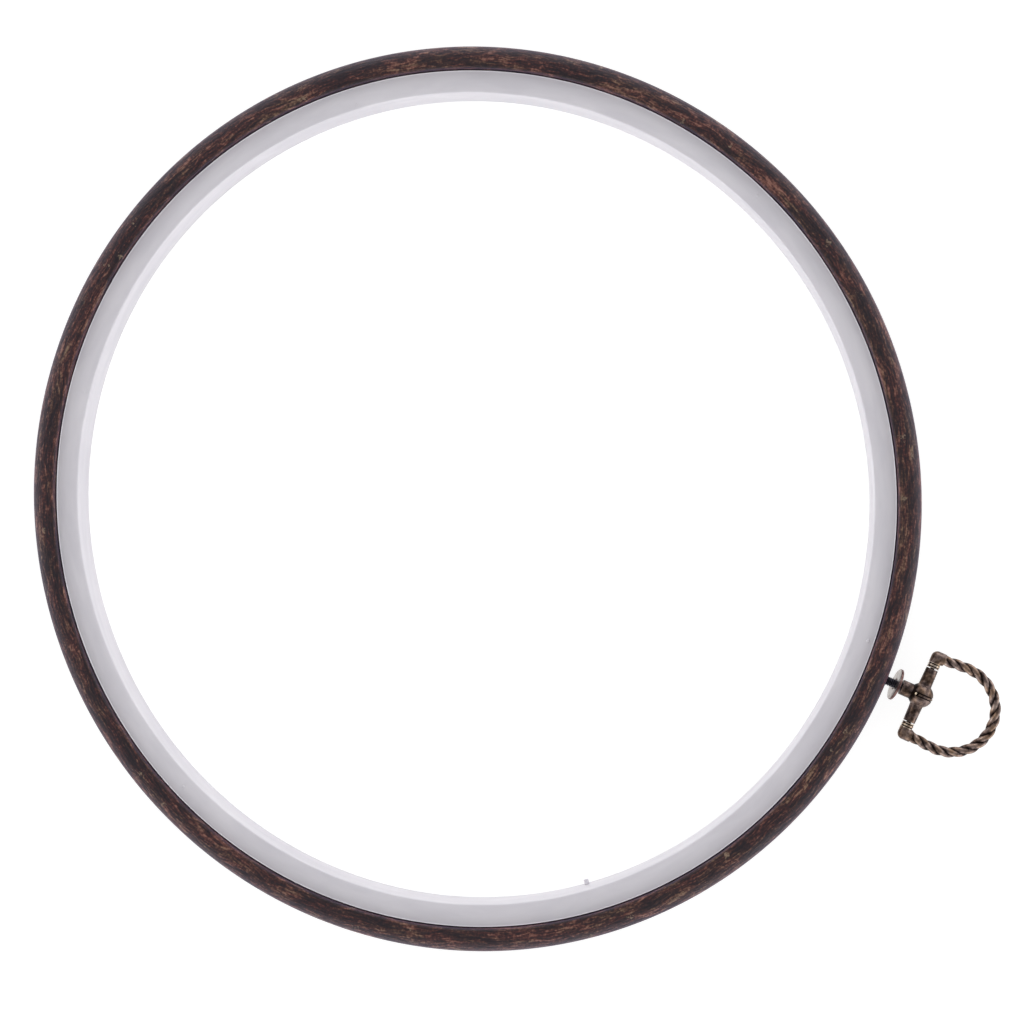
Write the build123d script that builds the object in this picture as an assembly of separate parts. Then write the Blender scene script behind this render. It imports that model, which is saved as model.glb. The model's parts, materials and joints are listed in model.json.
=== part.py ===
from build123d import *
import os
from itertools import pairwise
from math import acos, asin, cos, pi, sin

# Embroidery hoop with a screwless, stretch-on outer ring and a swinging metal hanger.
# Millimetres. The hoop lies on its back: its axis is Z, its back is z = 0, its hanger points to +Y.
# The flanged white ring holds the cloth from inside, and the soft wood-effect ring stretches over it.

# Inner ring: a stiff moulded ring with a flange at its back that the outer ring rests on
bore_radius = 111.8
inner_ring_width = 6.25
inner_ring_depth = 10.0
flange_reach = 2.9
flange_thickness = 1.5
inner_ring_chamfer = 0.4

# Outer ring: a soft solid ring with a crowned outer side, standing a little proud of the inner ring
cloth_gap = 0.25
outer_ring_width = 6.7
outer_ring_depth = 10.5
outer_crown = 2.0
outer_ring_chamfer = 0.6

# Hanger screw: a slotted head sunk into the outer ring from inside, its shank pointing outwards
screw_radius = 1.3
screw_clearance = 0.05
screw_tip_chamfer = 0.3
head_radius = 2.4
head_thickness = 1.3
head_chamfer = 0.35
head_slot_width = 0.7
head_slot_depth = 0.6
head_side_clearance = 0.2
head_sink = 0.6

# Loose washer, free to slide on the screw between the outer ring and the hanger's neck
washer_radius = 4.45
washer_thickness = 0.7
washer_chamfer = 0.15
washer_hole_clearance = 0.3
washer_ring_gap = 2.65
washer_neck_gap = 1.1

# Hanger body: a neck, a ball and two arms, cast in one
neck_radius = 2.1
neck_fillet = 0.6
ball_rise = 5.8
ball_radius = 3.4
screw_engagement = 4.0
screw_end_gap = 0.2
arm_reach = 7.9
arm_root_radius = 1.85
arm_end_radius = 1.66
arm_end_chamfer = 0.15
arm_root_fillet = 0.3
seam_width = 0.7
seam_depth = 0.25
pit_radius = 0.4
pit_drop = 1.75
pit_wall = 0.75

# Bail: a twisted D with plain elbows, two grooved collars and two pins in the arms
pin_radius = 0.6
pin_clearance = 0.05
pin_engagement = 1.7
pin_end_gap = 0.2
collar_gap = 0.5
collar_length = 1.8
collar_groove_count = 2
collar_groove_inset = 0.5
collar_groove_pitch = 0.85
collar_groove_width = 0.3
collar_groove_depth = 0.22
elbow_ledge = 0.2
elbow_stub = 2.15
leg_length = 9.1
strand_radius = 0.89
strand_offset = 0.6
strand_count = 3
twist_lead = 10.05
facets_per_strand = 4
sections_per_turn = 12

# Cuts run past what they cut by this much, and no chamfer takes more than this share of its wall
overrun = 1.0
chamfer_limit_share = 0.45

# Radii and distances from the hoop's axis that follow from the sizes
inner_ring_radius = bore_radius + inner_ring_width
sleeve_radius = inner_ring_radius + cloth_gap
hoop_radius = sleeve_radius + outer_ring_width
hanger_height = flange_thickness + outer_ring_depth / 2
head_seat = sleeve_radius + head_sink + head_thickness
washer_start = hoop_radius + washer_ring_gap
washer_end = washer_start + washer_thickness
neck_start = washer_end + washer_neck_gap
ball_centre = neck_start + ball_rise
screw_tip = neck_start + screw_engagement

# Radii and distances from the ball's centre that follow from the sizes
screw_bore_radius = screw_radius + screw_clearance
collar_start = arm_reach + collar_gap
crest_radius = strand_offset + strand_radius
elbow_radius = crest_radius + elbow_ledge
leg_offset = collar_start + collar_length + elbow_radius

# The screw's axis runs outwards along +Y, and each arm has its own axis from the ball's centre
ball_point = Vector(0, ball_centre, hanger_height)
screw_axis = Plane(origin=(0, 0, hanger_height), x_dir=(1, 0, 0), z_dir=(0, 1, 0))
arm_axes = [Plane(origin=ball_point, x_dir=(0, 1, 0), z_dir=(side, 0, 0)) for side in (-1, 1)]
on_base = (Align.CENTER, Align.CENTER, Align.MIN)


def polar(radius, angle):
    """Point in a plane at a radius and an angle."""
    return Vector(radius * cos(angle), radius * sin(angle))


def bar(axis, radius, start, end):
    """Round bar on an axis, between two distances along it."""
    return axis * Pos(0, 0, start) * Cylinder(radius, end - start, align=on_base)


def groove_cutter(axis, middle, surface_radius, width, depth):
    """Ring that cuts a square groove into a round surface."""
    start, end = middle - width / 2, middle + width / 2
    ring = bar(axis, surface_radius + overrun, start, end)
    return ring - bar(axis, surface_radius - depth, start - overrun, end + overrun)


def bevelled(profile, corners, size, wall):
    """Flat profile with the corners at the given points cut off, within their share of the wall."""
    points = [profile.vertices().sort_by_distance(Vector(*corner))[0] for corner in corners]
    return chamfer(points, min(size, chamfer_limit_share * wall))


def make_inner_ring():
    """Stiff ring with a straight round bore and a thin flange around its back."""
    flange_radius = inner_ring_radius + flange_reach
    corners = [
        (bore_radius, 0),
        (flange_radius, 0),
        (flange_radius, flange_thickness),
        (inner_ring_radius, flange_thickness),
        (inner_ring_radius, inner_ring_depth),
        (bore_radius, inner_ring_depth),
    ]
    bore_foot, flange_foot, flange_top, flange_root, wall_top, bore_top = corners
    # the bore's back edge, where the mould parts, and the flange's root stay sharp
    profile = make_face(Polyline(corners, close=True))
    edges = (flange_foot, flange_top, wall_top, bore_top)
    return revolve(Plane.XZ * bevelled(profile, edges, inner_ring_chamfer, flange_thickness), Axis.Z)


def make_outer_ring():
    """Soft ring with a crowned outer side, the screw's hole and the recess for the screw's head."""
    base, top = flange_thickness, flange_thickness + outer_ring_depth
    rim_radius, crest = hoop_radius - outer_crown, (hoop_radius, hanger_height)
    heel, brow = (sleeve_radius, base), (sleeve_radius, top)
    # the crown is an arc each way from its crest, so no face has its seam in the screw's hole
    upper = TangentArc(crest, (rim_radius, top), tangent=(0, 1))
    lower = TangentArc(crest, (rim_radius, base), tangent=(0, -1))
    profile = make_face([upper, lower, Polyline(upper @ 1, brow, heel, lower @ 1)])
    profile = bevelled(profile, (heel, brow), outer_ring_chamfer, outer_ring_width - outer_crown)
    ring = revolve(Plane.XZ * profile, Axis.Z)
    ring -= bar(screw_axis, screw_bore_radius, bore_radius, neck_start)
    return ring - bar(screw_axis, head_radius + head_side_clearance, bore_radius, head_seat)


def make_hanger_screw():
    """Screw with a slotted low head, put through the outer ring from inside."""
    head_front = head_seat - head_thickness
    head = bar(screw_axis, head_radius, head_front, head_seat)
    rim = head.edges().filter_by(GeomType.CIRCLE).sort_by(Axis.Y)[0]
    head = chamfer(rim, min(head_chamfer, chamfer_limit_share * head_thickness))
    slot = Box(2 * head_radius + overrun, head_slot_width, 2 * head_slot_depth)
    head -= screw_axis * Pos(0, 0, head_front) * slot
    shank = bar(screw_axis, screw_radius, head_seat, screw_tip)
    tip = shank.edges().filter_by(GeomType.CIRCLE).sort_by(Axis.Y)[-1]
    return head + chamfer(tip, min(screw_tip_chamfer, chamfer_limit_share * screw_radius))


def make_hanger_washer():
    """Thin disc with bevelled edges and a loose hole."""
    disc = bar(screw_axis, washer_radius, washer_start, washer_end)
    rims = disc.edges().filter_by(GeomType.CIRCLE)
    disc = chamfer(rims, min(washer_chamfer, chamfer_limit_share * washer_thickness))
    hole_radius = screw_radius + washer_hole_clearance
    return disc - bar(screw_axis, hole_radius, washer_start - overrun, washer_end + overrun)


def make_core():
    """Ball and neck, turned as one, with a fillet where the neck runs into the ball."""
    touch_angle = -acos((neck_radius + neck_fillet) / (ball_radius + neck_fillet))
    touch, top = polar(ball_radius, touch_angle), polar(ball_radius, pi / 2)
    neck_top = Vector(neck_radius, polar(ball_radius + neck_fillet, touch_angle).Y)
    crown = ThreePointArc(touch, polar(ball_radius, (touch_angle + pi / 2) / 2), top)
    root = TangentArc(neck_top, touch, tangent=(0, 1))
    side = Polyline(top, (0, -ball_rise), (neck_radius, -ball_rise), neck_top)
    profile = Plane(origin=ball_point, x_dir=(0, 0, -1), z_dir=(1, 0, 0)) * make_face([crown, root, side])
    return revolve(profile, Axis(ball_point, (0, 1, 0)))


def make_hanger_body():
    """Core with the casting seam round its ball, and two tapered arms, bored for screw and pins."""
    seam_start = ball_point - Vector(0, pit_drop)
    span = 2 * (ball_radius + overrun)
    ball_end = Pos(seam_start) * Box(span, span, span, align=(Align.CENTER, Align.MIN, Align.CENTER))
    seam = groove_cutter(arm_axes[0], 0, ball_radius, seam_width, seam_depth) & ball_end
    body = make_core() - seam
    for axis in arm_axes:
        arm = axis * Cone(arm_root_radius, arm_end_radius, arm_reach, align=on_base)
        tip = arm.edges().filter_by(GeomType.CIRCLE).sort_by_distance(ball_point)[-1]
        body += chamfer(tip, arm_end_chamfer)
        circles = body.edges().filter_by(GeomType.CIRCLE)
        root = circles.filter_by(lambda edge: arm_end_radius < edge.radius < arm_root_radius)
        body = fillet(root.sort_by_distance(axis.origin + axis.z_dir * ball_radius)[0], arm_root_fillet)
    for axis in arm_axes:
        bore_floor = arm_reach - pin_engagement - pin_end_gap
        body -= bar(axis, pin_radius + pin_clearance, bore_floor, arm_reach + overrun)
    body -= bar(screw_axis, screw_bore_radius, neck_start - overrun, screw_tip + screw_end_gap)
    pit_axis = Plane(origin=seam_start, z_dir=(0, 0, 1))
    return body - bar(pit_axis, pit_radius, screw_bore_radius + pit_wall, ball_radius + overrun)


def bow_frame(distance):
    """Point, outward side and heading of the D's centre line, by distance from its left foot."""
    leg, bow = leg_length - elbow_stub, pi * leg_offset
    left, right, ahead = Vector(-1, 0), Vector(1, 0), Vector(0, 1)
    if distance < leg:
        return ball_point + left * leg_offset + ahead * (elbow_stub + distance), left, ahead
    if distance < leg + bow:
        turn = (distance - leg) / leg_offset
        side, heading = polar(1, pi - turn), polar(1, pi / 2 - turn)
        return ball_point + ahead * leg_length + side * leg_offset, side, heading
    rest = leg_length - (distance - leg - bow)
    return ball_point + right * leg_offset + ahead * rest, right, -ahead


def strand_outline(distance):
    """Corners of the twisted strands' outline where the D's centre line has run the given distance."""
    point, side, heading = bow_frame(distance)
    plane = Plane(origin=point, x_dir=side, z_dir=heading)
    twist = 2 * pi * distance / twist_lead
    half_step = pi / strand_count
    # half of the arc that each strand shows between its two grooves, seen from the strand's centre
    half_arc = half_step + asin(strand_offset * sin(half_step) / strand_radius)
    corners = []
    for strand in range(strand_count):
        middle = twist + 2 * half_step * strand
        for facet in range(facets_per_strand):
            turn = half_arc * (2 * facet / facets_per_strand - 1)
            corner = polar(strand_offset, middle) + polar(strand_radius, middle + turn)
            corners.append(plane.from_local_coords(corner))
    return corners


def make_strands():
    """Strands twisted together along the D, in flat facets whose rows run along each strand."""
    length = 2 * (leg_length - elbow_stub) + pi * leg_offset
    steps = round(length / twist_lead * sections_per_turn)
    outlines = [strand_outline(length * step / steps) for step in range(steps + 1)]
    rings = [outlines[0], outlines[-1]]
    for near, far in pairwise(outlines):
        for corner in range(len(near)):
            rings.append([near[corner - 1], near[corner], far[corner]])
            rings.append([near[corner - 1], far[corner], far[corner - 1]])
    return Solid(Shell([Face(Wire.make_polygon(ring)) for ring in rings]))


def make_collar(axis):
    """Grooved collar from the arm's end to the elbow, with the pin that turns in the arm."""
    collar = bar(axis, elbow_radius, collar_start, leg_offset)
    for groove in range(collar_groove_count):
        middle = collar_start + collar_groove_inset + groove * collar_groove_pitch
        collar -= groove_cutter(axis, middle, elbow_radius, collar_groove_width, collar_groove_depth)
    return collar + bar(axis, pin_radius, arm_reach - pin_engagement, leg_offset)


def make_bail():
    """D-shaped bail: twisted strands between two ball elbows with collars and pins."""
    bail = make_strands()
    for axis in arm_axes:
        foot = Plane(origin=ball_point + axis.z_dir * leg_offset, z_dir=(0, 1, 0))
        bail += foot * Sphere(elbow_radius)
        bail += bar(foot, elbow_radius, 0, elbow_stub)
        bail += make_collar(axis)
    return bail


makers = {
    "inner_ring": make_inner_ring,
    "outer_ring": make_outer_ring,
    "hanger_screw": make_hanger_screw,
    "hanger_washer": make_hanger_washer,
    "hanger_body": make_hanger_body,
    "bail": make_bail,
}

os.makedirs("parts", exist_ok=True)
for name, make in makers.items():
    export_step(make(), f"parts/{name}.step")
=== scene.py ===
import json
from math import cos, hypot, pi, radians, sin, sqrt

import bmesh
import bpy
from mathutils import Matrix, Vector


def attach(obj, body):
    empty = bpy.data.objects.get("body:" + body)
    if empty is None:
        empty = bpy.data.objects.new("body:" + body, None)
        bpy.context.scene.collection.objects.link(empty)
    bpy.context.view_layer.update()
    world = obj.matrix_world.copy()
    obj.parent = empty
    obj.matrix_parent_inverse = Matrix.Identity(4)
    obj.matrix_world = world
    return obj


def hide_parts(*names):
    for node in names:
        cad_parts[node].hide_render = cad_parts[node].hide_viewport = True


# An embroidery hoop lying on its back: a white plastic ring that holds the cloth, a soft
# wood-effect ring stretched over it, and a bronzed hanger with a loose washer and a twisted bail.
# Sizes are in millimetres, and MM turns them into the frame's metres.
MM = 0.001

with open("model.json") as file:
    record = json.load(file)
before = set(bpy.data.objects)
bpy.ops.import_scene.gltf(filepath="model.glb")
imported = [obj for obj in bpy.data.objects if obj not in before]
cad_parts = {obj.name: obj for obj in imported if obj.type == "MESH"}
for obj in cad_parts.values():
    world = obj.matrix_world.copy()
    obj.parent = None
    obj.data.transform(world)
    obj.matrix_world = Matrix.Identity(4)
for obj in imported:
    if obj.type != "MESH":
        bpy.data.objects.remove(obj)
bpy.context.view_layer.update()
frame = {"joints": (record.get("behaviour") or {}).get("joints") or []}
joint_place = {
    joint["name"]: Vector(joint.get("pos_m", (0, 0, 0))) / MM for joint in frame["joints"]
}

# Inner ring
bore_radius = 111.8
inner_ring_width = 6.25
inner_ring_depth = 10.0
flange_reach = 2.9
flange_thickness = 1.5
inner_edge_rounding = 0.45
parting_lip = 0.18
ejector_mark_radius = 0.8
ejector_tip_radius = 0.28
ejector_mark_sink = 0.5
gate_angle = 40.3
gate_rise = 2.0
gate_radius = 0.7
gate_bump = 0.25
gate_sink = 1.0

# Radius, angle and height of each ejector mark on the inner ring's front face
ejector_marks = (
    (115.3, 40.1, 0.06), (114.2, -21.2, 0.06), (116.0, 93.9, 0.3),
    (113.3, -81.5, 0.06), (114.8, 160.0, 0.06), (114.4, 220.0, 0.06),
)

# Outer ring
cloth_gap = 0.25
outer_ring_width = 6.7
outer_ring_depth = 10.5
outer_side_rounding = 4.0
outer_brow_rounding = 0.8
outer_heel_rounding = 0.5
ring_steps = 720

# How far the rings are out of round, as a share of their radius, with the long axis half way
# between +X and +Y, where the hanger's own radius stays as it is
out_of_round_share = 0.0107

# Hanger screw
screw_radius = 1.3
screw_hole_radius = 1.35
thread_pitch = 0.5
thread_depth = 0.3
head_radius = 2.4
head_thickness = 1.3
head_sink = 0.6
head_rounding = 0.4
head_slot_width = 0.7
head_slot_depth = 0.6
head_side_clearance = 0.2
shank_root = 0.2

# Loose washer. It leans on its screw, and stands a shift nearer the ring, which keeps it clear of
# the neck when it slides.
washer_radius = 4.45
washer_thickness = 0.7
washer_hole_radius = 1.6
washer_rounding = 0.16
washer_ring_gap = 2.65
washer_lean = radians(5)
washer_shift = 0.12

# Hanger body
neck_radius = 2.1
ball_rise = 5.8
ball_radius = 3.4
screw_engagement = 4.0
arm_reach = 7.9
arm_root_radius = 1.85
arm_end_radius = 1.66
seam_half_width = 0.42
seam_line_radius = 0.19
pit_floor_radius = 0.45
pit_cutter_radius = 1.35
pit_depth = 0.3
pit_drop = 1.8
gate_stub_radius = 0.36
gate_stub_sink = 0.22
bore_end_play = 0.2

# Bail. Its elbows stand an inset nearer the ball than the CAD node's, and its collars a lead nearer
# the arms.
pin_radius = 0.6
pin_hole_radius = 0.65
pin_engagement = 1.7
pin_root = 0.3
collar_gap = 0.5
collar_length = 1.8
collar_lead = 0.25
collar_groove_places = (0.42, 1.2)
collar_groove_radius = 0.17
elbow_radius = 1.69
elbow_inset = 0.5
elbow_stub = 2.15
leg_length = 9.1
strand_radius = 0.89
strand_offset = 0.6
strand_count = 3
strand_steps = 300
strand_groove_radius = 1.0
twist_lead = 10.05

# Grid that blends a casting's parts into one skin, fine enough for its smallest blend, and how
# far a cutter runs past the skin
body_grid = 0.1
elbow_grid = 0.07
overrun = 1.0

# Radii and places that follow from the sizes and the frame
inner_ring_radius = bore_radius + inner_ring_width
sleeve_radius = inner_ring_radius + cloth_gap
hoop_radius = sleeve_radius + outer_ring_width
outer_base, outer_top = flange_thickness, flange_thickness + outer_ring_depth
ball = joint_place["bail_swing"]
washer_start = hoop_radius + washer_ring_gap
neck_start = ball.y - ball_rise
head_seat = sleeve_radius + head_sink + head_thickness
leg_offset = arm_reach + collar_gap + collar_length + elbow_radius
elbow_offset = leg_offset - elbow_inset
collar_start = arm_reach + collar_gap - collar_lead

# Frames whose Z runs along the screw, outwards, and along each arm, away from the ball
screw_axis = Matrix.Translation((0, 0, ball.z * MM)) @ Matrix.Rotation(-pi / 2, 4, "X")
ball_place = Matrix.Translation(ball * MM)
arm_axes = [ball_place @ Matrix.Rotation(side * pi / 2, 4, "Y") for side in (-1, 1)]


def clear():
    """Leaves edit mode with nothing selected."""
    if bpy.context.object and bpy.context.object.mode == "EDIT":
        bpy.ops.object.mode_set(mode="OBJECT")
    bpy.ops.object.select_all(action="DESELECT")


def shape(name):
    """Names the primitive that was just added, and opens it with nothing in it selected."""
    piece = bpy.context.object
    piece.name = piece.data.name = name
    bpy.ops.object.transform_apply(location=True, rotation=True, scale=True)
    bpy.ops.object.mode_set(mode="EDIT")
    bpy.ops.mesh.select_all(action="DESELECT")
    return piece


def choose(kind, test):
    """Selects the open piece's vertices, edges or faces whose middle, in mm, passes the test."""
    bpy.ops.mesh.select_mode(type=kind)
    bpy.ops.mesh.select_all(action="DESELECT")
    data = bpy.context.edit_object.data
    mesh = bmesh.from_edit_mesh(data)
    for element in {"VERT": mesh.verts, "EDGE": mesh.edges, "FACE": mesh.faces}[kind]:
        corners = [element] if kind == "VERT" else element.verts
        middle = sum((corner.co for corner in corners), Vector()) / (len(corners) * MM)
        element.select_set(bool(test(middle)))
    mesh.select_flush_mode()
    bmesh.update_edit_mesh(data)


def near(*spot):
    """Test for being at a spot, to a twentieth of a millimetre."""
    return lambda middle: (middle - Vector(spot)).length < 0.05


def close_up(piece):
    """Merges doubles, turns every face outwards and leaves edit mode."""
    bpy.ops.mesh.select_mode(type="VERT")
    bpy.ops.mesh.select_all(action="SELECT")
    bpy.ops.mesh.remove_doubles(threshold=0.002 * MM)
    bpy.ops.mesh.normals_make_consistent(inside=False)
    bpy.ops.object.mode_set(mode="OBJECT")
    return piece


def place(piece, matrix):
    """Puts a piece that was made about the origin in its place, and keeps that in its mesh."""
    clear()
    piece.select_set(True)
    bpy.context.view_layer.objects.active = piece
    piece.matrix_world = matrix
    bpy.ops.object.transform_apply(location=True, rotation=True, scale=True)
    return piece


def finish_with(piece, kind, **settings):
    """Adds a modifier with its settings and applies it."""
    clear()
    bpy.context.view_layer.objects.active = piece
    modifier = piece.modifiers.new(kind.title(), kind)
    for name, value in settings.items():
        setattr(modifier, name, value)
    bpy.ops.object.modifier_apply(modifier=modifier.name)
    return piece


def cut(piece, tool, operation="DIFFERENCE"):
    """Cuts the tool's shape out of the piece and removes the tool."""
    finish_with(piece, "BOOLEAN", operation=operation, solver="EXACT", object=tool)
    bpy.data.objects.remove(tool)
    return piece


def fuse(piece, addition):
    """Makes the addition one solid with the piece."""
    return cut(piece, addition, "UNION")


def joined(name, pieces):
    """Joins pieces into one object of that name."""
    clear()
    for piece in pieces:
        piece.select_set(True)
    bpy.context.view_layer.objects.active = pieces[0]
    bpy.ops.object.join()
    pieces[0].name = pieces[0].data.name = name
    return pieces[0]


def smooth(piece, angle=35):
    """Shades a finished piece smooth, except across edges sharper than the angle."""
    clear()
    piece.select_set(True)
    bpy.context.view_layer.objects.active = piece
    bpy.ops.object.shade_smooth_by_angle(angle=radians(angle))
    return piece


def rub_and_painted_light(piece, measure):
    """Marks how far the blackening is rubbed off at each vertex: 0 is black and 1 is bare metal; on
    the hanger body the marks also carry a painted glint and painted shade.
    """
    marks = piece.data.attributes.new("rub_and_painted_light", "FLOAT", "POINT")
    for vertex, mark in zip(piece.data.vertices, marks.data):
        mark.value = measure(vertex.co / MM)


def start_section(name, low, high):
    """Opens a rectangle in the XZ plane, from low to high corner, to be shaped and turned."""
    clear()
    bpy.ops.mesh.primitive_plane_add(size=MM, rotation=(pi / 2, 0, 0))
    piece = shape(name)
    bpy.ops.mesh.select_all(action="SELECT")
    wide, deep = high[0] - low[0], high[1] - low[1]
    bpy.ops.transform.resize(value=(wide, 1, deep))
    middle = ((low[0] + high[0]) / 2 * MM, 0, (low[1] + high[1]) / 2 * MM)
    bpy.ops.transform.translate(value=middle)
    return piece


def round_corner(corner, radius, segments):
    """Rounds one corner of the open section."""
    choose("VERT", near(corner[0], 0, corner[1]))
    bpy.ops.mesh.bevel(offset=radius * MM, segments=segments, affect="VERTICES")


def turn_section(piece, steps):
    """Turns the open section once round Z into a closed ring."""
    bpy.ops.mesh.select_all(action="SELECT")
    bpy.ops.mesh.delete(type="ONLY_FACE")
    bpy.ops.mesh.select_all(action="SELECT")
    bpy.ops.mesh.spin(steps=steps, angle=2 * pi, center=(0, 0, 0), axis=(0, 0, 1))
    return close_up(piece)


def out_of_round(piece):
    """Stretches a ring a little along its long axis and narrows it as much across."""
    place(piece, Matrix.Rotation(-pi / 4, 4, "Z"))
    place(piece, Matrix.Diagonal((1 + out_of_round_share, 1 - out_of_round_share, 1, 1)))
    return place(piece, Matrix.Rotation(pi / 4, 4, "Z"))


def rod(name, radius, start, end, axis, end_radius=None, vertices=64):
    """Round or tapered rod along an axis between two distances."""
    clear()
    middle = (0, 0, (start + end) / 2 * MM)
    far_radius = radius if end_radius is None else end_radius
    bpy.ops.mesh.primitive_cone_add(vertices=vertices, radius1=radius * MM, radius2=far_radius * MM,
                                    depth=(end - start) * MM, location=middle)
    return place(shape(name), axis)


def sphere(name, radius, matrix, segments=48, rings=24):
    """Sphere with its middle and poles where the matrix puts them."""
    clear()
    bpy.ops.mesh.primitive_uv_sphere_add(segments=segments, ring_count=rings, radius=radius * MM)
    return place(shape(name), matrix)


def torus(name, radius, wire_radius, matrix, steps, wire_steps):
    """Closed ring of round wire, for cutting a groove round an axis."""
    clear()
    bpy.ops.mesh.primitive_torus_add(major_radius=radius * MM, minor_radius=wire_radius * MM,
                                     major_segments=steps, minor_segments=wire_steps)
    return place(shape(name), matrix)


def make_inner_ring():
    """Moulded ring with a flange, rounded edges, six ejector marks and the stub of its gate."""
    piece = start_section("inner_ring_dressed", (bore_radius, 0),
                          (inner_ring_radius, inner_ring_depth))
    bpy.ops.mesh.bisect(plane_co=(0, 0, flange_thickness * MM), plane_no=(0, 0, 1))
    choose("EDGE", near(inner_ring_radius, 0, flange_thickness / 2))
    bpy.ops.mesh.extrude_region_move(TRANSFORM_OT_translate={"value": (flange_reach * MM, 0, 0)})
    flange_radius = inner_ring_radius + flange_reach
    round_corner((bore_radius, inner_ring_depth), inner_edge_rounding, 4)
    raise_lip(inner_ring_radius, inner_ring_depth)
    round_corner((flange_radius, flange_thickness), inner_edge_rounding, 3)
    round_corner((flange_radius, 0), inner_edge_rounding, 3)

    # the two edges that ran through the section's inside
    choose("EDGE", near((bore_radius + inner_ring_radius) / 2, 0, flange_thickness))
    bpy.ops.mesh.delete(type="EDGE")
    choose("EDGE", near(inner_ring_radius, 0, flange_thickness / 2))
    bpy.ops.mesh.delete(type="EDGE")
    turn_section(piece, ring_steps)
    out_of_round(piece)
    marks = []
    for radius, angle, height in ejector_marks:
        upright = Matrix.Rotation(radians(angle), 4, "Z") @ Matrix.Translation((radius * MM, 0, 0))
        marks.append(rod("mark", ejector_mark_radius, inner_ring_depth - ejector_mark_sink,
                         inner_ring_depth + height, upright, ejector_tip_radius, 32))
    on_bore = Matrix.Translation((bore_radius * MM, 0, gate_rise * MM))
    outwards = on_bore @ Matrix.Rotation(pi / 2, 4, "Y")
    gate_axis = Matrix.Rotation(radians(gate_angle), 4, "Z") @ outwards
    marks.append(rod("gate", gate_radius, -gate_bump, gate_sink, gate_axis, vertices=24))
    fuse(piece, joined("marks", marks))
    return smooth(piece)


def raise_lip(radius, height):
    """Raises the mould's parting line, a fine lip, on an outer corner of the open section."""
    round_corner((radius, height), 2 * parting_lip, 2)
    middle = 2 * parting_lip * (1 - sqrt(0.5))
    choose("VERT", near(radius - middle, 0, height - middle))
    bpy.ops.transform.translate(value=(-0.3 * parting_lip * MM, 0, 1.4 * parting_lip * MM))


def make_outer_ring():
    """Soft ring, rounded outside, with the screw's hole and the recess for its head."""
    piece = start_section("outer_ring_dressed", (sleeve_radius, outer_base),
                          (hoop_radius, outer_top))
    round_corner((hoop_radius, outer_top), outer_side_rounding, 8)
    round_corner((hoop_radius, outer_base), outer_side_rounding, 8)
    round_corner((sleeve_radius, outer_top), outer_brow_rounding, 5)
    round_corner((sleeve_radius, outer_base), outer_heel_rounding, 4)
    turn_section(piece, ring_steps)
    out_of_round(piece)
    cut(piece, rod("hole", screw_hole_radius, bore_radius, neck_start, screw_axis))
    recess_radius = head_radius + head_side_clearance
    cut(piece, rod("recess", recess_radius, bore_radius, head_seat, screw_axis))
    return smooth(piece)


def make_washer():
    """Loose washer, stamped from sheet, with its edges rounded by tumbling."""
    piece = start_section("hanger_washer_dressed", (washer_hole_radius, 0),
                          (washer_radius, washer_thickness))
    for radius in (washer_hole_radius, washer_radius):
        for height in (0, washer_thickness):
            round_corner((radius, height), washer_rounding, 3)
    turn_section(piece, 96)
    rub_and_painted_light(piece, washer_rub)
    middle = Matrix.Translation((0, 0, -washer_thickness / 2 * MM))
    lean = Matrix.Rotation(-washer_lean, 4, "X")
    back = Matrix.Translation((0, 0, (washer_start - washer_shift + washer_thickness / 2) * MM))
    return smooth(place(piece, screw_axis @ back @ lean @ middle))


def washer_rub(point):
    """Dull on the rim and well rubbed on both faces."""
    on_rim = hypot(point.x, point.y) > washer_radius - 0.1
    return 0.15 if on_rim else 0.75


def make_screw():
    """Machine screw: slotted head, and a rolled thread along its shank."""
    front = head_seat - head_thickness
    head = rod("head", head_radius, front, head_seat, Matrix())
    bpy.ops.object.mode_set(mode="EDIT")
    choose("FACE", near(0, 0, front))
    bpy.ops.mesh.bevel(offset=head_rounding * MM, segments=4, affect="EDGES")
    close_up(head)
    clear()
    bpy.ops.mesh.primitive_cube_add(size=MM)
    slot_size = Matrix.Diagonal((3 * head_radius, head_slot_width, 2 * head_slot_depth, 1))
    cut(head, place(shape("slot"), Matrix.Translation((0, 0, front * MM)) @ slot_size))

    # one V of the thread, from crest to root to crest, which the screw modifier winds up
    clear()
    bpy.ops.mesh.primitive_plane_add(size=sqrt(2) * MM)
    shank = shape("shank")
    bpy.ops.mesh.select_all(action="SELECT")
    bpy.ops.mesh.delete(type="ONLY_FACE")
    choose("VERT", lambda middle: middle.x > 0 and middle.y > 0)
    bpy.ops.mesh.delete(type="VERT")
    place(shank, Matrix.Rotation(pi / 2, 4, "X") @ Matrix.Rotation(-pi / 4, 4, "Z"))
    place(shank, Matrix.Diagonal((thread_depth, 1, thread_pitch / 2, 1)))
    place(shank, Matrix.Translation((screw_radius * MM, 0, 0)))
    shank_end = neck_start + screw_engagement
    turns = round((shank_end - head_seat) / thread_pitch) + 2
    finish_with(shank, "SCREW", axis="Z", angle=2 * pi, screw_offset=thread_pitch * MM,
                iterations=turns, steps=32, render_steps=32)
    place(shank, Matrix.Translation((0, 0, (head_seat - thread_pitch) * MM)))
    bpy.ops.object.mode_set(mode="EDIT")
    close_up(shank)
    bpy.ops.object.mode_set(mode="EDIT")
    for height, away in ((head_seat - shank_root, -1), (shank_end, 1)):
        bpy.ops.mesh.select_all(action="SELECT")
        bpy.ops.mesh.bisect(plane_co=(0, 0, height * MM), plane_no=(0, 0, away), clear_outer=True,
                            use_fill=True)
    close_up(shank)
    screw = joined("hanger_screw_dressed", [head, shank])
    rub_and_painted_light(screw, screw_rub)
    return smooth(place(screw, screw_axis), 30)


def screw_rub(point):
    """Dark in the thread, and rubbed on its crests and on the head's rim."""
    on_crest = hypot(point.x, point.y) > screw_radius - 0.1
    return 0.7 if on_crest else 0.2


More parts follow.
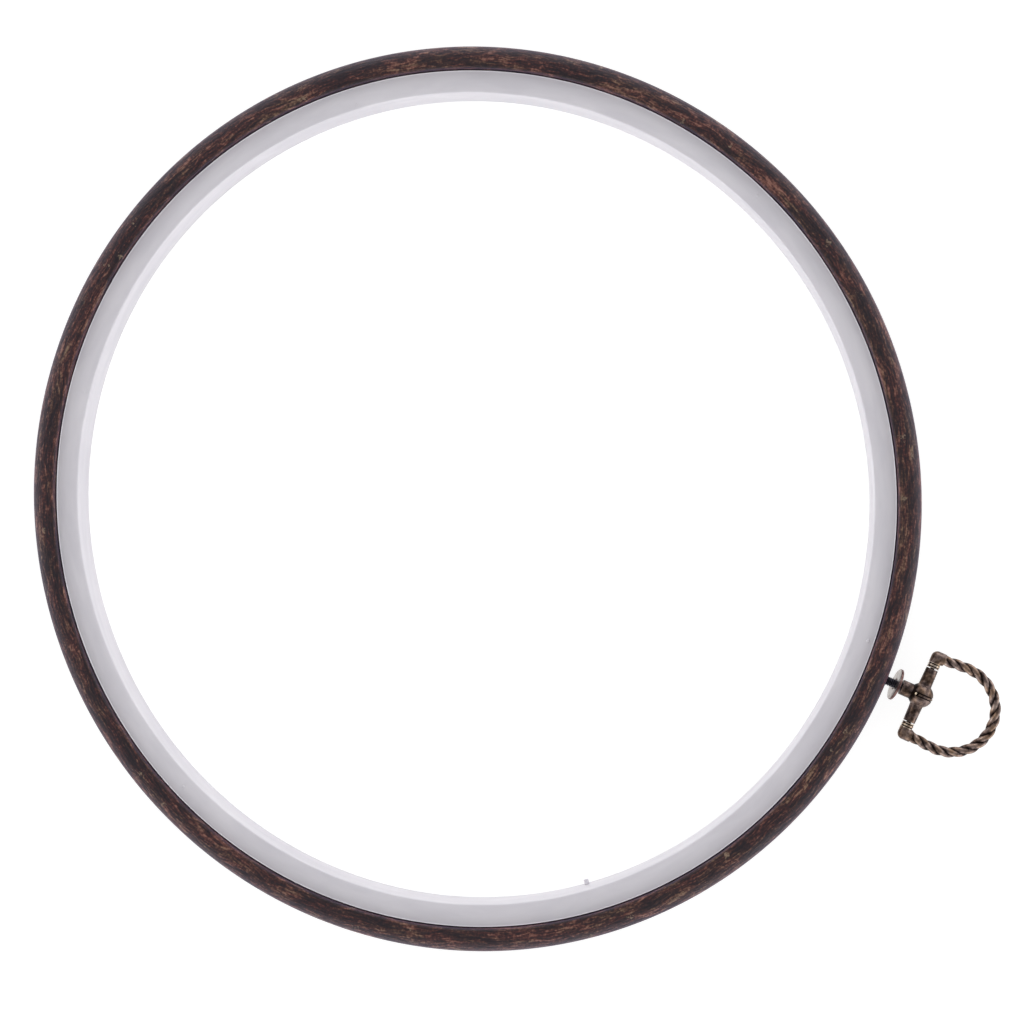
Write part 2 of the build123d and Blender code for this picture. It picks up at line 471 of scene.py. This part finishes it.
def make_hanger_body():
    """Casting: a ball, a neck and two arms, blended, with its bores and the marks of casting."""
    parts = [
        sphere("hanger_body_dressed", ball_radius, ball_place, 64, 32),
        rod("neck", neck_radius, neck_start, ball.y - 1, screw_axis),
    ]
    parts += [rod("arm", arm_root_radius, 0, arm_reach, axis, arm_end_radius) for axis in arm_axes]
    casting = joined("hanger_body_dressed", parts)
    finish_with(casting, "REMESH", mode="VOXEL", voxel_size=body_grid * MM)
    finish_with(casting, "SMOOTH", factor=0.5, iterations=6)

    # the pit where the gate was broken off
    pit_top = sqrt(ball_radius**2 - pit_drop**2)
    pit_place = Matrix.Translation((ball - Vector((0, pit_drop, 0))) * MM)
    cut(casting, rod("pit", pit_floor_radius, pit_top - pit_depth, ball_radius + overrun, pit_place,
                     pit_cutter_radius, 32))

    # bores for the two pins and for the screw
    bore_floor = arm_reach - pin_engagement - bore_end_play
    for axis in arm_axes:
        cut(casting, rod("bore", pin_hole_radius, bore_floor, arm_reach + overrun, axis,
                         vertices=48))
    bore_end = neck_start + screw_engagement + bore_end_play
    cut(casting, rod("bore", screw_hole_radius, neck_start - overrun, bore_end, screw_axis,
                     vertices=48))

    # both lines of the seam, and the gate's stub in its pit
    for side in (-1, 1):
        cut(casting, seam_line(side * seam_half_width))
    stub_place = pit_place @ Matrix.Translation((0, 0, (pit_top - gate_stub_sink) * MM))
    fuse(casting, sphere("gate_stub", gate_stub_radius, stub_place, 24, 16))
    rub_and_painted_light(casting, body_rub_and_painted_light)
    return smooth(casting, 40)


def share_between(value, low, high):
    """How far a value lies from low to high: 0 at or below low, 1 at or above high."""
    return max(0, min(1, (value - low) / (high - low)))


def body_rub_and_painted_light(point):
    """Bright on the gate's stub, a painted glint past bare metal, dull elsewhere, black in pit and
    seam, and painted shade in the neck's valley.
    """
    spot = point - ball
    # the gate's stub is marked 1.6, past bare metal: a painted glint
    if spot.z > 0 and hypot(spot.x, spot.y + pit_drop) < gate_stub_radius + 0.01:
        return 1.6
    if spot.z > 0 and spot.length < ball_radius - 0.06:
        return -0.1
    on_ball = 1 - share_between(spot.length, ball_radius, ball_radius + 0.25)
    # painted shade on the ball's side towards the neck, in the neck's valley
    painted_valley_shade = on_ball * share_between(-spot.y, 1.7, 2.4)
    return 0.3 + 0.08 * on_ball - 0.5 * painted_valley_shade


def seam_line(offset):
    """Ring that scores one line of the casting seam round the outer part of the ball."""
    across = ball_place @ Matrix.Translation((offset * MM, 0, 0)) @ Matrix.Rotation(pi / 2, 4, "Y")
    line = torus("seam_line", sqrt(ball_radius**2 - offset**2), seam_line_radius, across, 128, 10)
    bpy.ops.object.mode_set(mode="EDIT")
    bpy.ops.mesh.select_all(action="SELECT")
    bpy.ops.mesh.bisect(plane_co=(0, (ball.y - pit_drop) * MM, 0), plane_no=(0, -1, 0),
                        clear_outer=True, use_fill=True)
    return close_up(line)


def make_bail_line():
    """Curve down the middle of the twisted part: a leg, a half circle and a leg."""
    reach = leg_offset * 4 / 3 * (sqrt(2) - 1)
    foot, head = ball.y + elbow_stub, ball.y + leg_length
    third, lean = (leg_length - elbow_stub) / 3, elbow_inset / 3
    points = [
        ((-elbow_offset, foot), (lean, -third), (-lean, third)),
        ((-leg_offset, head), (0, -third), (0, reach)),
        ((0, head + leg_offset), (-reach, 0), (reach, 0)),
        ((leg_offset, head), (0, reach), (0, -third)),
        ((elbow_offset, foot), (lean, third), (-lean, -third)),
    ]
    clear()
    bpy.ops.curve.primitive_bezier_curve_add()
    line = bpy.context.object
    spline = line.data.splines[0]
    spline.bezier_points.add(len(points) - 2)
    for knot, (place_at, before, after) in zip(spline.bezier_points, points):
        knot.handle_left_type = knot.handle_right_type = "FREE"
        knot.co = Vector((*place_at, ball.z)) * MM
        knot.handle_left = knot.co + Vector((*before, 0)) * MM
        knot.handle_right = knot.co + Vector((*after, 0)) * MM
    line.data.resolution_u = 64
    return line


def make_strands():
    """Strands laid side by side, twisted together and bent along the bail's line."""
    length = 2 * (leg_length - elbow_stub) + pi * leg_offset
    step = length / strand_steps * MM
    parts = []
    for strand in range(strand_count):
        angle = 2 * pi * strand / strand_count
        middle = Matrix.Translation(Vector((cos(angle), sin(angle), 0)) * strand_offset * MM)
        clear()
        bpy.ops.mesh.primitive_cylinder_add(vertices=24, radius=strand_radius * MM, depth=step,
                                            end_fill_type="NOTHING", location=(0, 0, step / 2))
        parts.append(place(shape("strand"), middle))
    strands = joined("strands", parts)
    finish_with(strands, "ARRAY", count=strand_steps, use_relative_offset=False,
                use_constant_offset=True, constant_offset_displace=(0, 0, step),
                use_merge_vertices=True, merge_threshold=0.005 * MM)
    bpy.ops.object.mode_set(mode="EDIT")
    bpy.ops.mesh.select_mode(type="EDGE")
    bpy.ops.mesh.select_all(action="DESELECT")
    bpy.ops.mesh.select_non_manifold()
    bpy.ops.mesh.fill_holes(sides=0)
    close_up(strands)
    rub_and_painted_light(strands, strand_rub)
    finish_with(strands, "SIMPLE_DEFORM", deform_method="TWIST", deform_axis="Z",
                angle=2 * pi * length / twist_lead)
    line = make_bail_line()
    finish_with(strands, "CURVE", object=line, deform_axis="POS_Z")
    bpy.data.objects.remove(line)
    return strands


def strand_rub(point):
    """Black between the strands and rubbed towards their crests, measured before the twist."""
    crest = strand_offset + strand_radius
    share = (hypot(point.x, point.y) - strand_groove_radius) / (crest - strand_groove_radius)
    return 0.65 * max(0, share) ** 1.3


def make_elbow(axis):
    """Ball elbow with the stub of a leg and a collar, and the pin that turns in the arm."""
    elbow_place = axis @ Matrix.Translation((0, 0, elbow_offset * MM))
    leg_axis = Matrix.Translation(elbow_place.translation) @ Matrix.Rotation(-pi / 2, 4, "X")
    parts = [
        sphere("elbow", elbow_radius, elbow_place),
        rod("stub", elbow_radius, 0, elbow_stub, leg_axis, vertices=48),
        rod("collar", elbow_radius, collar_start, elbow_offset, axis, vertices=48),
    ]
    elbow = joined("elbow", parts)
    finish_with(elbow, "REMESH", mode="VOXEL", voxel_size=elbow_grid * MM)
    finish_with(elbow, "SMOOTH", factor=0.5, iterations=4)
    for groove in collar_groove_places:
        groove_place = axis @ Matrix.Translation((0, 0, (collar_start + groove) * MM))
        cut(elbow, torus("groove", elbow_radius, collar_groove_radius, groove_place, 64, 12))
    rub_and_painted_light(elbow, elbow_rub)
    pin_end = arm_reach - pin_engagement
    pin = rod("pin", pin_radius, pin_end, collar_start + pin_root, axis, vertices=32)
    return joined("elbow", [elbow, pin])


def elbow_rub(point):
    """Bright on the collar's beads, black in its grooves, and half rubbed round the elbow."""
    if abs(point.x) > elbow_offset - elbow_radius:
        return 0.45
    in_groove = hypot(point.y - ball.y, point.z - ball.z) < elbow_radius - 0.07
    return 0.0 if in_groove else 0.9


def make_bail():
    """Twisted D with its two elbows."""
    parts = [make_strands()] + [make_elbow(axis) for axis in arm_axes]
    return smooth(joined("bail_dressed", parts), 40)


def linear(hex_colour):
    """Linear colour with full alpha from an sRGB hex value."""
    shares = [int(hex_colour[i:i + 2], 16) / 255 for i in (1, 3, 5)]
    return [s / 12.92 if s <= 0.04045 else ((s + 0.055) / 1.055) ** 2.4 for s in shares] + [1]


def add(tree, kind, settings=None, feeds=None, stops=()):
    """Adds a node: its settings, its ramp's stops, and a value or a socket for each input."""
    node = tree.nodes.new("ShaderNode" + kind)
    for name, value in (settings or {}).items():
        setattr(node, name, value)
    for name, source in (feeds or {}).items():
        if isinstance(source, bpy.types.NodeSocket):
            tree.links.new(source, node.inputs[name])
        else:
            node.inputs[name].default_value = source
    for _ in stops[2:]:
        node.color_ramp.elements.new(1)
    for number, (position, colour) in enumerate(stops):
        node.color_ramp.elements[number].position = position
        node.color_ramp.elements[number].color = linear(colour)
    return node


def calculated(tree, operation, *sources):
    """Result of one sum on values or sockets."""
    return add(tree, "Math", {"operation": operation}, dict(enumerate(sources))).outputs[0]


def moved(tree, operation, feeds):
    """Result of one sum on vectors."""
    return add(tree, "VectorMath", {"operation": operation}, feeds).outputs[0]


def spread(tree, source, low, high, to_low=0.0, to_high=1.0):
    """Brings a value from one range to another, and holds it at both ends."""
    feeds = {0: source, 1: low, 2: high, 3: to_low, 4: to_high}
    return add(tree, "MapRange", feeds=feeds).outputs[0]


def mixed(tree, share, first, second, blend="MIX"):
    """Mixes a second colour into a first one by a share."""
    settings = {"data_type": "RGBA", "blend_type": blend}
    return add(tree, "Mix", settings, {0: share, 6: first, 7: second}).outputs[2]


def noise(tree, size, detail, output="Fac"):
    """Even noise with features of a size in mm."""
    place_in = add(tree, "TexCoord").outputs["Object"]
    feeds = {"Vector": place_in, "Scale": 1 / (size * MM), "Detail": detail}
    return add(tree, "TexNoise", feeds=feeds).outputs[output]


def relief_of(tree, height, strength, depth):
    """Fine relief, up to a depth in mm, that follows a height."""
    feeds = {"Height": height, "Strength": strength, "Distance": depth * MM}
    return add(tree, "Bump", feeds=feeds).outputs[0]


def streaks(tree, length, width, wave=0.0, detail=3.0):
    """Noise drawn out round the hoop into streaks of a length and width, waved sideways, in mm."""
    place_in = add(tree, "TexCoord").outputs["Object"]
    x, y, z = add(tree, "SeparateXYZ", feeds={0: place_in}).outputs
    flat = add(tree, "CombineXYZ", feeds={0: x, 1: y}).outputs[0]
    heading = moved(tree, "NORMALIZE", {0: flat})
    radius = add(tree, "VectorMath", {"operation": "LENGTH"}, {0: flat}).outputs["Value"]
    if wave:
        bend_length = 14
        sway = moved(tree, "SCALE", {0: heading, "Scale": hoop_radius / bend_length})
        sway = add(tree, "TexNoise", feeds={"Vector": sway, "Scale": 1.0, "Detail": 2.0})
        radius = calculated(tree, "MULTIPLY_ADD", sway.outputs["Fac"], 2 * wave * MM, radius)
    along = moved(tree, "SCALE", {0: heading, "Scale": hoop_radius / length})
    across = calculated(tree, "DIVIDE", radius, width * MM)
    down = calculated(tree, "DIVIDE", z, width * MM)
    lift = add(tree, "CombineXYZ", feeds={2: across}).outputs[0]
    feeds = {"Vector": moved(tree, "ADD", {0: along, 1: lift}), "W": down, "Scale": 1.0,
             "Detail": detail, "Roughness": 0.55, "Distortion": 0.5}
    return add(tree, "TexNoise", {"noise_dimensions": "4D"}, feeds).outputs["Fac"]


def new_material(name):
    """Node material with nothing in it, and its tree."""
    material = bpy.data.materials.new(name)
    material.use_nodes = True
    material.node_tree.nodes.clear()
    return material, material.node_tree


def show(tree, shader):
    """Makes a shader node the material's surface."""
    add(tree, "OutputMaterial", feeds={"Surface": shader.outputs[0]})


def wood_effect_vinyl():
    """Soft vinyl, pressed and printed to look like dark wood: wavy fibres in relief, a dull sheen.

    Its finest fibres are about 0.1 mm wide, too fine to show, and are drawn 0.5 mm wide.
    """
    material, tree = new_material("pressed_wood_effect_vinyl")
    fibres = streaks(tree, 3.0, 0.5, wave=1.6, detail=4.0)
    figure = streaks(tree, 12.0, 2.2, wave=2.0)
    speck = noise(tree, 0.7, 2.0)
    figure_weight, speck_weight = 0.8, 0.5
    print_level = calculated(tree, "MULTIPLY_ADD", figure, figure_weight, fibres)
    print_level = calculated(tree, "MULTIPLY_ADD", speck, speck_weight, print_level)
    print_level = calculated(tree, "DIVIDE", print_level, 1 + figure_weight + speck_weight)
    levels = (0.42, 0.468, 0.516, 0.556, 0.612)
    red_tones = ("#110706", "#24120e", "#3a1d17", "#5a342a", "#8a6051")
    olive_tones = ("#110b09", "#231611", "#38241b", "#553e2e", "#806a52")
    red, olive = [
        add(tree, "ValToRGB", feeds={0: print_level}, stops=list(zip(levels, tones))).outputs[0]
        for tones in (red_tones, olive_tones)
    ]
    hue = spread(tree, streaks(tree, 10.0, 2.2, wave=1.5), 0.45, 0.65)
    colour = mixed(tree, hue, red, olive)

    # pale ragged flecks, up to 2 mm across, in about a third of the cells of a 5 mm pattern
    place_in = add(tree, "TexCoord").outputs["Object"]
    ragged = moved(tree, "SCALE", {0: noise(tree, 0.9, 2.0, "Color"), "Scale": 4 * MM})
    ragged = moved(tree, "ADD", {0: place_in, 1: ragged})
    cells = add(tree, "TexVoronoi", feeds={"Vector": ragged, "Scale": 1 / (5 * MM)}).outputs
    fleck = spread(tree, cells["Distance"], 0.06, 0.2, 1.0, 0.0)
    lot = add(tree, "SeparateColor", feeds={0: cells["Color"]}).outputs[0]
    fleck = calculated(tree, "MULTIPLY", fleck, calculated(tree, "GREATER_THAN", lot, 0.62))
    colour = mixed(tree, calculated(tree, "MULTIPLY", fleck, 0.75), colour, linear("#94806a"))

    rough = spread(tree, fibres, 0.4, 0.6, 0.62, 0.4)
    feeds = {"Base Color": colour, "Roughness": rough, "IOR": 1.53, "Specular IOR Level": 0.28,
             "Sheen Weight": 0.25, "Sheen Roughness": 0.6, "Sheen Tint": linear("#c4b0da"),
             "Normal": relief_of(tree, fibres, 0.8, 0.25)}
    show(tree, add(tree, "BsdfPrincipled", feeds=feeds))
    return material


def moulded_white_plastic():
    """Injection-moulded polypropylene: satin, a cool white, slightly cloudy and translucent.

    The mould's satin grain is finer than a tenth of a millimetre, and is drawn 0.6 mm wide.
    """
    material, tree = new_material("moulded_white_polypropylene")
    cloud = streaks(tree, 22.0, 5.0)
    colour = add(tree, "ValToRGB", feeds={0: cloud}, stops=[(0.35, "#d9d6dd"), (0.65, "#e3e0e6")])
    grain = noise(tree, 0.6, 3.0)
    rough = spread(tree, grain, 0.3, 0.7, 0.34, 0.44)
    feeds = {"Base Color": colour.outputs[0], "Roughness": rough, "IOR": 1.49,
             "Subsurface Weight": 0.2, "Subsurface Scale": 0.6 * MM,
             "Subsurface Radius": (1.0, 0.95, 0.9), "Normal": relief_of(tree, grain, 0.15, 0.02)}
    show(tree, add(tree, "BsdfPrincipled", feeds=feeds))
    return material


def antique_metal(name, tones, rough, warm=None):
    """Metal, blackened, then rubbed back: dark in hollows, brighter on what stands out, mottled,
    and with the painted glint and painted shade that its marks carry.

    The grain of its skin is finer than a tenth of a millimetre, and is drawn 0.3 mm wide.
    """
    material, tree = new_material(name)
    patch, grain = noise(tree, 1.2, 4.0), noise(tree, 0.3, 3.0)
    open_share = add(tree, "AmbientOcclusion", {"samples": 8}, {"Distance": 0.8 * MM}).outputs["AO"]
    wear_and_painted_light = calculated(tree, "ADD", spread(tree, patch, 0.3, 0.7, -0.25, 0.25),
                      spread(tree, open_share, 0.3, 0.95, -0.3, 0.0))
    # the marks are wear, and on the hanger body also a painted glint and painted shade
    marks = add(tree, "Attribute", {"attribute_name": "rub_and_painted_light"}).outputs["Fac"]
    wear_and_painted_light = calculated(tree, "ADD", wear_and_painted_light, marks)

    # the brightest marks are past 1, where a ramp ends, the gate stub's painted glint most of all,
    # so wear and stops are both scaled down
    scale = 0.7
    stops = [(scale * wear, tone) for wear, tone in zip((0.0, 0.3, 0.75, 1.3), tones)]
    level = calculated(tree, "MULTIPLY", wear_and_painted_light, scale)
    colour = add(tree, "ValToRGB", feeds={0: level}, stops=stops).outputs[0]
    if warm:
        tint = spread(tree, noise(tree, 2.5, 2.0), 0.42, 0.6, 0.0, 0.6)
        colour = mixed(tree, tint, colour, linear(warm), "MULTIPLY")
    feeds = {"Base Color": colour, "Metallic": 1.0, "Normal": relief_of(tree, grain, 0.4, 0.05),
             "Roughness": spread(tree, wear_and_painted_light, 0.0, 1.0, rough + 0.15, rough)}
    show(tree, add(tree, "BsdfPrincipled", feeds=feeds))
    return material


# the last bronze tone, near white, is bare metal on the most rubbed beads and a painted glint on
# the gate's stub
bronze_and_glint_tones = ("#1f1817", "#5c4f4d", "#a8938a", "#fff6ea")
steel_tones = ("#3c3b43", "#66656e", "#96959d", "#b8b7bd")
washer_tones = ("#5c4442", "#8f7470", "#c9c3be", "#d8d4cf")
plastic, vinyl = moulded_white_plastic(), wood_effect_vinyl()
bronze = antique_metal("cast_bronze_blackened_and_rubbed", bronze_and_glint_tones, 0.34, warm="#e2cba0")
dark_steel = antique_metal("rolled_steel_blackened", steel_tones, 0.36)
pale_washer = antique_metal("stamped_washer_tumbled_bright", washer_tones, 0.3)
rows = [
    (make_inner_ring(), "inner_ring", "inner_ring", "white_plastic", plastic),
    (make_outer_ring(), "outer_ring", "outer_ring", "wood_effect_vinyl", vinyl),
    (make_washer(), "washer", "hanger_washer", "washer_bronze", pale_washer),
    (make_screw(), "hanger", "hanger_screw", "antique_bronze", dark_steel),
    (make_hanger_body(), "hanger", "hanger_body", "antique_bronze", bronze),
    (make_bail(), "bail", "bail", "antique_bronze", bronze),
]
for piece, body, node, slot, material in rows:
    piece.data.materials.clear()
    piece.data.materials.append(material)
    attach(piece, body)
    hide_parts(node)

# Floor: white to the eye and to gloss, with the shadow left faintly in it
clear()
bpy.ops.mesh.primitive_plane_add(size=40)
floor = bpy.context.object
floor.name = "table_top"
floor.location.z = -0.05 * MM
material, tree = new_material("white_paper_table")
light = add(tree, "LightPath").outputs
seen = calculated(tree, "MAXIMUM", light["Is Camera Ray"], light["Is Glossy Ray"])
paper = mixed(tree, seen, linear("#f2f2f2"), linear("#9c9c9c"))
paper = add(tree, "BsdfDiffuse", feeds={"Color": paper}).outputs[0]
glow = add(tree, "Emission", feeds={"Strength": calculated(tree, "MULTIPLY", seen, 0.84)})
show(tree, add(tree, "AddShader", feeds={0: paper, 1: glow.outputs[0]}))
floor.data.materials.append(material)

# Studio: bright round the sides and dimmer overhead, as in a light tent
world = bpy.data.worlds.new("light_tent")
scene = bpy.context.scene
scene.world = world
world.use_nodes = True
tree = world.node_tree
heading = add(tree, "TexCoord").outputs["Generated"]
height = add(tree, "SeparateXYZ", feeds={0: heading}).outputs[2]
feeds = {0: height, 1: 0.15, 2: 0.75, 3: 2.3, 4: 0.4}
level = add(tree, "MapRange", {"interpolation_type": "SMOOTHSTEP"}, feeds)
sky = tree.nodes["Background"]
sky.inputs["Color"].default_value = linear("#ffffff")
tree.links.new(level.outputs[0], sky.inputs["Strength"])

# Camera: over the hoop and a little to the hanger's side, turned so that the hanger points down
# to the right. Its foot and its aim are in pixels of the frame from the hoop's middle.
hanger_turn = radians(23.7)
image_right = Vector((-sin(hanger_turn), cos(hanger_turn), 0))
image_up = Vector((-cos(hanger_turn), -sin(hanger_turn), 0))
frame_size = 1024
pixel = 0.2796
foot_pixel = (153, -34)
aim_pixel = (41.4, -14.5)
camera_height = 500.5
focal_pixels = 1773.5
spot = (image_right * foot_pixel[0] + image_up * foot_pixel[1]) * pixel
spot += Vector((0, 0, camera_height))
aim = (image_right * aim_pixel[0] + image_up * aim_pixel[1]) * pixel
aim += Vector((0, 0, inner_ring_depth))
ahead = (aim - spot).normalized()
right = (image_right - ahead * image_right.dot(ahead)).normalized()
up = right.cross(ahead)
turned = Matrix((right, up, -ahead)).transposed().to_4x4()
camera_data = bpy.data.cameras.new("camera")
camera_data.sensor_width = 36
camera_data.lens = focal_pixels / frame_size * camera_data.sensor_width
camera = bpy.data.objects.new("camera", camera_data)
scene.collection.objects.link(camera)
camera.matrix_world = Matrix.Translation(spot * MM) @ turned
scene.camera = camera

scene.view_settings.view_transform = "Standard"
